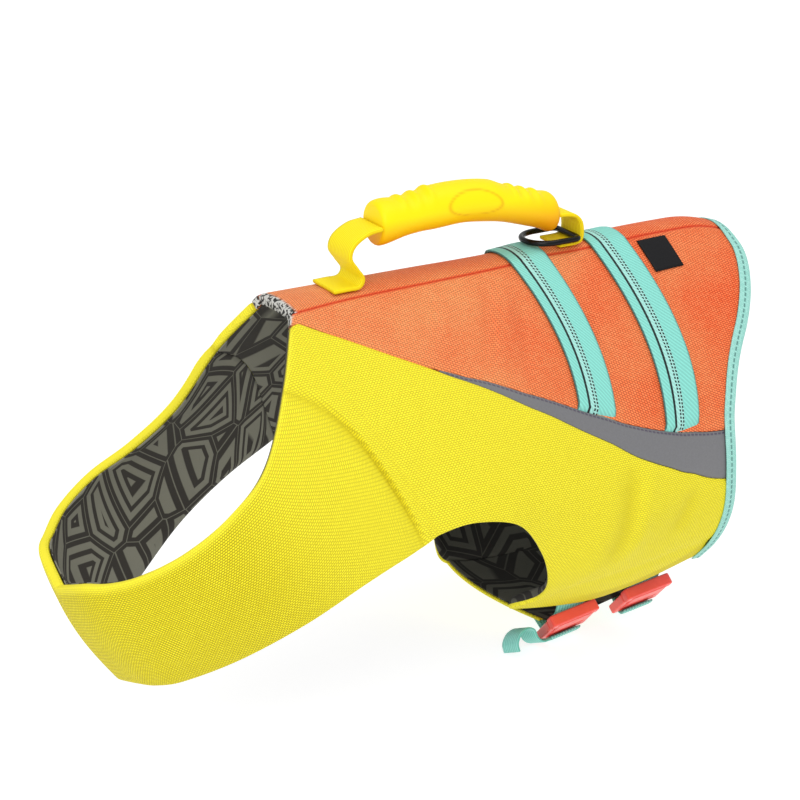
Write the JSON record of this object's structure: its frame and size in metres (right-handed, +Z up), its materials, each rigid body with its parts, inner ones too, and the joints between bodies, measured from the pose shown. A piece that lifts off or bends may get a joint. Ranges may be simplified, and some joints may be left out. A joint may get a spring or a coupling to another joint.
{
  "type": "dog life jacket",
  "caption": "Padded life jacket for a dog with a carrying handle, a lead ring and belly buckles, shown filled out and fastened with nobody in it.",
  "frame": {"origin": "inner face of the lining, in the middle of the back strip, where the dog's back bears the jacket", "axes": "+X towards the tail, -X towards the head, -Y the dog's left side, +Z up"},
  "size_m": [0.5063, 0.2256, 0.3372],
  "materials": {
    "yellow_nylon": "coarse woven nylon, matt",
    "orange_nylon": "ribbed woven nylon, matt",
    "grey_reflective": "smooth reflective cloth",
    "printed_lining": "dark printed lining cloth",
    "aqua_binding": "folded woven tape",
    "aqua_webbing": "woven webbing",
    "yellow_webbing": "woven webbing",
    "yellow_rubber": "moulded soft rubber, satin",
    "black_steel": "black coated steel",
    "coral_resin": "moulded resin",
    "black_label": "bare moulded patch"
  },
  "bodies": {
    "jacket": {"chest_band_left": "yellow_nylon", "chest_band_right": "yellow_nylon", "lining_band_left": "printed_lining", "lining_band_right": "printed_lining", "lower_side_left": "yellow_nylon", "lower_side_right": "yellow_nylon", "upper_side_left": "orange_nylon", "upper_side_right": "orange_nylon", "reflective_wedge_left": "grey_reflective", "reflective_wedge_right": "grey_reflective", "lining_body_left": "printed_lining", "lining_body_right": "printed_lining", "back_panel": "orange_nylon", "lining_back": "printed_lining", "hem_binding": "aqua_binding", "back_strap_front": "aqua_webbing", "back_strap_rear": "aqua_webbing", "label_patch": "black_label", "handle_strap_front": "yellow_webbing", "handle_strap_rear": "yellow_webbing", "handle_grip": "yellow_rubber", "belly_panel": "yellow_nylon", "lining_belly": "printed_lining", "buckle_prong_front": "coral_resin", "buckle_prong_rear": "coral_resin", "buckle_socket_front": "coral_resin", "buckle_socket_rear": "coral_resin", "belly_webbing_front": "aqua_webbing", "belly_webbing_rear": "aqua_webbing", "rim_webbing_front": "aqua_webbing", "rim_webbing_rear": "aqua_webbing", "webbing_tail": "aqua_webbing"},
    "d_ring": {"d_ring": "black_steel"}
  },
  "joints": [
    {"name": "d_ring_lift", "type": "hinge", "parent": "jacket", "child": "d_ring", "pos_m": [0.1098, 0, 0.0171], "axis": [0, 1, 0], "range_deg": [0, 12]}
  ]
}
